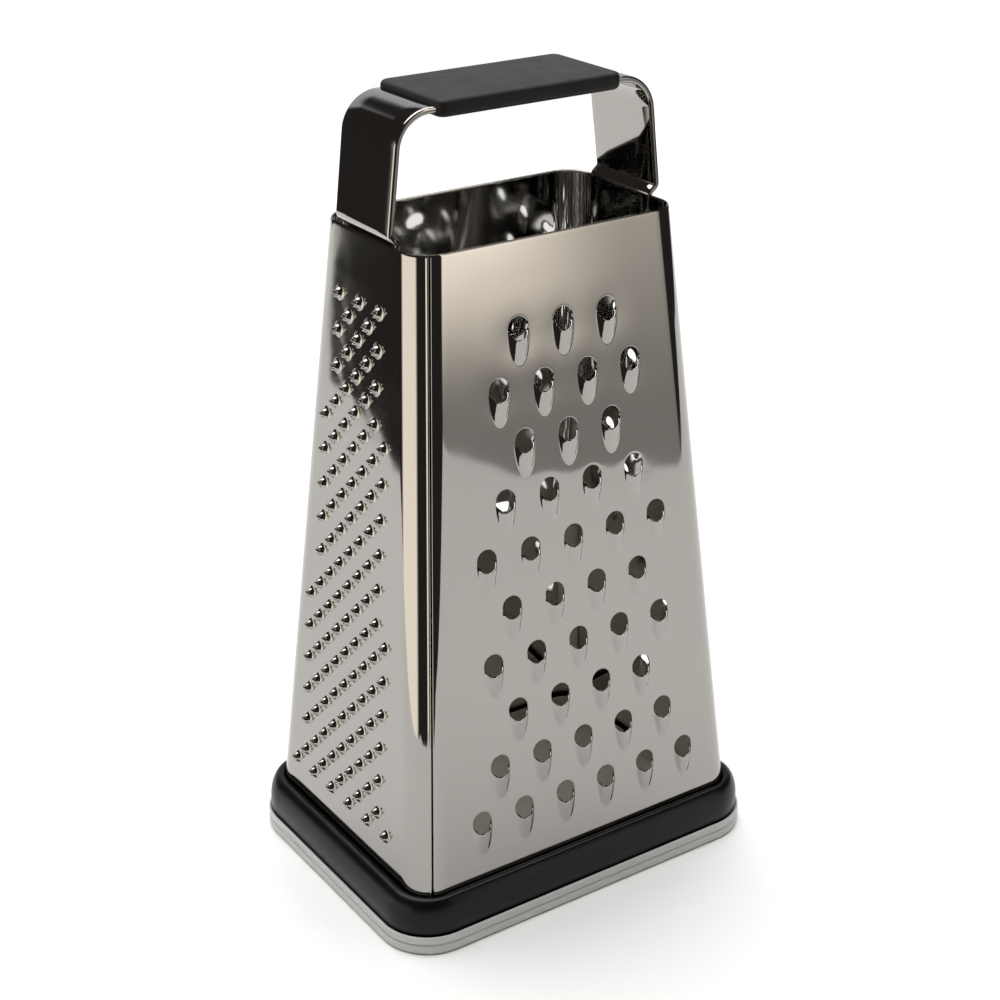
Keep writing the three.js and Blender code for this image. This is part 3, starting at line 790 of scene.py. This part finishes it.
pan_loops = stack(*cover_rows.T, *cover_size[:2], COVER_CORNER, steps=12)
cover_loops = np.concatenate([pan_loops, round_steel(lip_rows[:, 1], -lip_rows[:, 0])])
cover = add_piece("frosted_cover", cover_loops, capped(cover_loops), "bottom_cover")

# %% [markdown]
# ## Materials
#
# Each material is a small node tree on the Principled shader. One function adds a node with its settings
# and its inputs. Object coordinates keep every pattern fixed to its piece, and pattern sizes are written
# in millimetres. Colours are picked as sRGB hex and turned into linear values.

# %% Material tools
def linear(hex_colour):
    """Linear RGBA of an sRGB hex colour: c/12.92 when dark, else ((c + 0.055)/1.055)^2.4."""
    c = np.array([int(hex_colour[i:i + 2], 16) for i in (1, 3, 5)]) / 255
    rgb = np.where(c <= 0.04045, c / 12.92, ((c + 0.055) / 1.055) ** 2.4)
    return (*rgb.tolist(), 1.0)


def add_node(tree, kind, inputs=(), **settings):
    """A new node with its settings. Inputs are values, or outputs of other nodes to link from."""
    node = tree.nodes.new(kind)
    for name, value in settings.items():
        setattr(node, name, value)
    for socket, value in dict(inputs).items():
        if isinstance(value, bpy.types.NodeSocket):
            tree.links.new(value, node.inputs[socket])
        else:
            node.inputs[socket].default_value = value
    return node


def new_material(name):
    """A material with its node tree and its shader."""
    material = bpy.data.materials.new(name)
    material.use_nodes = True
    return material, material.node_tree, material.node_tree.nodes["Principled BSDF"]


def pattern(tree, size_mm, detail=2.0):
    """Noise in object coordinates whose grain has the given size in millimetres along x, y and z."""
    place = add_node(tree, "ShaderNodeTexCoord").outputs["Object"]
    scale = [1 / (s * MM) for s in size_mm]
    mapped = add_node(tree, "ShaderNodeMapping", {"Vector": place, "Scale": scale}).outputs["Vector"]
    noise = add_node(tree, "ShaderNodeTexNoise", {"Vector": mapped, "Scale": 1.0, "Detail": detail})
    return noise.outputs["Fac"]


def spread(tree, value, low, high):
    """The noise value spread over a range."""
    ends = {"Value": value, "From Min": 0.3, "From Max": 0.7, "To Min": low, "To Max": high}
    return add_node(tree, "ShaderNodeMapRange", ends).outputs["Result"]


def bumped(tree, shader, height, depth_mm, strength=1.0):
    """Gives the shader a bump of the given depth."""
    settings = {"Height": height, "Distance": depth_mm * MM, "Strength": strength}
    bump = add_node(tree, "ShaderNodeBump", settings)
    tree.links.new(bump.outputs["Normal"], shader.inputs["Normal"])


# %% [markdown]
# The sheet is bright rolled stainless with a fine brushing across it, which spreads reflections a little.
# The brushing's lines are three tenths of a millimetre apart, coarser than real ones, so that they show.
# Its inner side kept the finish of the mill, and the strap is the same steel, polished to a mirror.

# %% Steel
sheet_steel, tree, shader = new_material("stainless sheet, bright rolled and brushed across")
shader.inputs["Metallic"].default_value = 1.0
shader.inputs["Base Color"].default_value = linear("#9b9995")
smear = pattern(tree, (25, 25, 14))
tree.links.new(spread(tree, smear, 0.035, 0.06), shader.inputs["Roughness"])
bumped(tree, shader, pattern(tree, (14, 14, 0.3), detail=3), 0.0006)

inner_steel, tree, shader = new_material("stainless sheet, mill rolled inside")
shader.inputs["Metallic"].default_value = 1.0
shader.inputs["Base Color"].default_value = linear("#d3d2cf")
tree.links.new(spread(tree, pattern(tree, (25, 25, 14)), 0.04, 0.08), shader.inputs["Roughness"])

strap_steel, tree, shader = new_material("stainless strip, mirror polished")
shader.inputs["Metallic"].default_value = 1.0
shader.inputs["Base Color"].default_value = linear("#9b9995")
tree.links.new(spread(tree, pattern(tree, (18, 10, 10)), 0.03, 0.06), shader.inputs["Roughness"])

# %% [markdown]
# The soft parts are plain plastics: matte rubber with a fine grain, which hardly shines, a satin black
# moulding with soft highlights, and a frosted polypropylene that lets a little light into its depth. The
# cover's floor is the same plastic with a warmer tone painted in. That tone is painted light: it stands in
# for light from the table shining up through the thin floor.

# %% Rubber and plastics
rubber, tree, shader = new_material("rubber, moulded matte")
shader.inputs["Base Color"].default_value = linear("#131212")
shader.inputs["Specular IOR Level"].default_value = 0.35
tree.links.new(spread(tree, pattern(tree, (8, 8, 8)), 0.55, 0.66), shader.inputs["Roughness"])
bumped(tree, shader, pattern(tree, (0.35, 0.35, 0.35)), 0.035)

ring_plastic, tree, shader = new_material("polypropylene, moulded satin black")
shader.inputs["Base Color"].default_value = linear("#0b0a0a")
shader.inputs["Specular IOR Level"].default_value = 0.2
tree.links.new(spread(tree, pattern(tree, (12, 12, 12)), 0.26, 0.33), shader.inputs["Roughness"])
bumped(tree, shader, pattern(tree, (0.6, 0.6, 0.6)), 0.006)

cover_plastic, tree, shader = new_material("polypropylene, moulded frosted")
shader.inputs["Base Color"].default_value = linear("#c0c3c2")
shader.inputs["Subsurface Weight"].default_value = 0.35
shader.inputs["Subsurface Radius"].default_value = (1.0, 1.0, 0.9)
shader.inputs["Subsurface Scale"].default_value = 1.5 * MM
tree.links.new(spread(tree, pattern(tree, (9, 9, 9)), 0.42, 0.5), shader.inputs["Roughness"])

# The floor's warmer colour is painted light, standing in for light from the table shining up through the
# thin plastic.
floor_plastic_painted_light, tree, shader = new_material("polypropylene, moulded frosted, thin floor")
shader.inputs["Base Color"].default_value = linear("#c4bbad")
tree.links.new(spread(tree, pattern(tree, (9, 9, 9)), 0.5, 0.6), shader.inputs["Roughness"])

for piece, material in ((steel_body, sheet_steel), (strap, strap_steel), (grip, rubber),
                        (ring, ring_plastic), (cover, cover_plastic)):
    piece.data.materials.append(material)
steel_body.data.materials.append(inner_steel)
cover.data.materials.append(floor_plastic_painted_light)
# The lip and the floor inside it take the floor material, with its painted light.
inside_faces = 1 + (len(lip_rows) - 1) * cover_loops.shape[1]
for polygon in cover.data.polygons[-inside_faces:]:
    polygon.material_index = 1
print("materials:", [m.name for m in bpy.data.materials])

# %% [markdown]
# ## Floor, light and camera
#
# Polished steel shows its surroundings more than itself. A pale table, a white backdrop behind it, a warm
# wall to the left, a window to the front right and a dark room everywhere else give the faces the bands
# that they have in a real studio. The table's edge is seen in the steel too, so it is drawn as a plain
# polygon, in millimetres.

# %% Floor
TABLE = [(-235, -131), (262, -640), (273, -485), (279, -452), (292, -434), (328, -410), (800, -300),
         (900, 500), (300, 900), (-566, 880), (-396, 587), (-327, 468), (-307, 403), (-279, 324)]
floor_mesh = bpy.data.meshes.new("floor")
floor_mesh.from_pydata([(x * MM, y * MM, 0) for x, y in TABLE], [], [list(range(len(TABLE)))])
floor = bpy.data.objects.new("floor", floor_mesh)
bpy.context.scene.collection.objects.link(floor)
paper, tree, shader = new_material("table top, matte pale paint")
shader.inputs["Base Color"].default_value = linear("#f6f5f4")
shader.inputs["Roughness"].default_value = 0.9
floor_mesh.materials.append(paper)
print("table corners:", len(TABLE))

# %% [markdown]
# The room is drawn in the world shader from the direction alone: every panel is a range of directions with
# soft edges and a colour. The camera itself sees white behind the grater.

# %% Room
world = bpy.data.worlds.new("studio")
bpy.context.scene.world = world
world.use_nodes = True
tree = world.node_tree
way = add_node(tree, "ShaderNodeTexCoord").outputs["Generated"]


def panel(azimuth, half_width, low, high, colour, soft=3.0):
    """Light from a soft-edged panel: directions within half_width of the azimuth, counted from +X, and
    between two heights over the horizon. All angles are in degrees."""
    turned = add_node(tree, "ShaderNodeVectorRotate", {"Vector": way, "Angle": -np.radians(azimuth)},
                      rotation_type="Z_AXIS").outputs[0]
    x, y, z = add_node(tree, "ShaderNodeSeparateXYZ", {0: turned}).outputs
    angle = add_node(tree, "ShaderNodeMath", {0: y, 1: x}, operation="ARCTAN2").outputs[0]
    off = add_node(tree, "ShaderNodeMath", {0: angle}, operation="ABSOLUTE").outputs[0]
    share = 1.0
    for value, start, end in ((off, half_width + soft, half_width - soft), (z, low - soft, low + soft),
                              (z, high + soft, high - soft)):
        if value == z:
            start, end = np.degrees(np.sin(np.radians([start, end])))
        ends = {"Value": value, "From Min": np.radians(start), "From Max": np.radians(end)}
        step = add_node(tree, "ShaderNodeMapRange", ends, interpolation_type="SMOOTHSTEP").outputs[0]
        share = add_node(tree, "ShaderNodeMath", {0: share, 1: step}, operation="MULTIPLY").outputs[0]
    return add_node(tree, "ShaderNodeVectorMath", {0: colour, "Scale": share}, operation="SCALE").outputs[0]


panels = [
    panel(62, 42, -80, 30, (0.62, 0.64, 0.67)),
    panel(166, 32, -80, 8, (2.15, 1.95, 1.7), soft=5),
    panel(-60, 4.2, -10.2, 40, (1.5, 1.36, 1.18), soft=2.4),
    panel(-57, 7.5, -9.5, 40, (0.58, 0.53, 0.47), soft=4),
    panel(-56, 7.5, -80, 20, (0.43, 0.41, 0.39), soft=2),
]
room = (0.04, 0.036, 0.034)
for light in panels:
    room = add_node(tree, "ShaderNodeVectorMath", {0: room, 1: light}, operation="ADD").outputs[0]
seen = add_node(tree, "ShaderNodeLightPath").outputs["Is Camera Ray"]
shown = add_node(tree, "ShaderNodeMix", {"Factor": seen, 6: room, 7: (1, 1, 1, 1)}, data_type="RGBA")
tree.links.new(shown.outputs[2], tree.nodes["Background"].inputs["Color"])
print("panels:", len(panels))

# %% [markdown]
# One wide lamp high above the table gives the soft shadow and the shine on the plastics.

# %% Softbox
lamp = bpy.data.lights.new("softbox", "AREA")
lamp.shape = "DISK"
lamp.size = 6.2
lamp.energy = 410
softbox = bpy.data.objects.new("softbox", lamp)
softbox.location = (0.2, 1.4, 4.4)
bpy.context.scene.collection.objects.link(softbox)
print("softbox:", lamp.size, "m,", lamp.energy, "W")

# %% [markdown]
# The camera stands where the photograph was taken from. Its place is given by two angles and a distance
# from a point inside the grater, and its three axes are worked out from those.

# %% Camera
AZIMUTH = np.radians(33.98)
ELEVATION = np.radians(24.83)
DISTANCE = 578.15
TARGET = np.array([-0.83, 0, 113.06])
CAMERA_ROLL = np.radians(-0.24)
level = np.array([-np.sin(AZIMUTH), -np.cos(AZIMUTH), 0])
back = np.cos(ELEVATION) * level + np.sin(ELEVATION) * np.array([0, 0, 1])
side = np.cross(-back, (0, 0, 1))
side /= np.linalg.norm(side)
up = np.cross(side, -back)
right = np.cos(CAMERA_ROLL) * side + np.sin(CAMERA_ROLL) * up
upright = np.cos(CAMERA_ROLL) * up - np.sin(CAMERA_ROLL) * side
camera_data = bpy.data.cameras.new("camera")
camera_data.sensor_width = 36
camera_data.lens = 69.61
camera = bpy.data.objects.new("camera", camera_data)
pose = np.eye(4)
pose[:3, :3] = np.stack([right, upright, back], -1)
pose[:3, 3] = (TARGET + back * DISTANCE) * MM
camera.matrix_world = Matrix(pose.tolist())
bpy.context.scene.collection.objects.link(camera)
bpy.context.scene.camera = camera
bpy.context.scene.view_settings.view_transform = "Standard"
print("camera at", np.round(pose[:3, 3], 3))

# %% [markdown]
# ## Finish
#
# The view layer is updated once more, so that every piece stands where it was placed.

# %% Finish
bpy.context.view_layer.update()
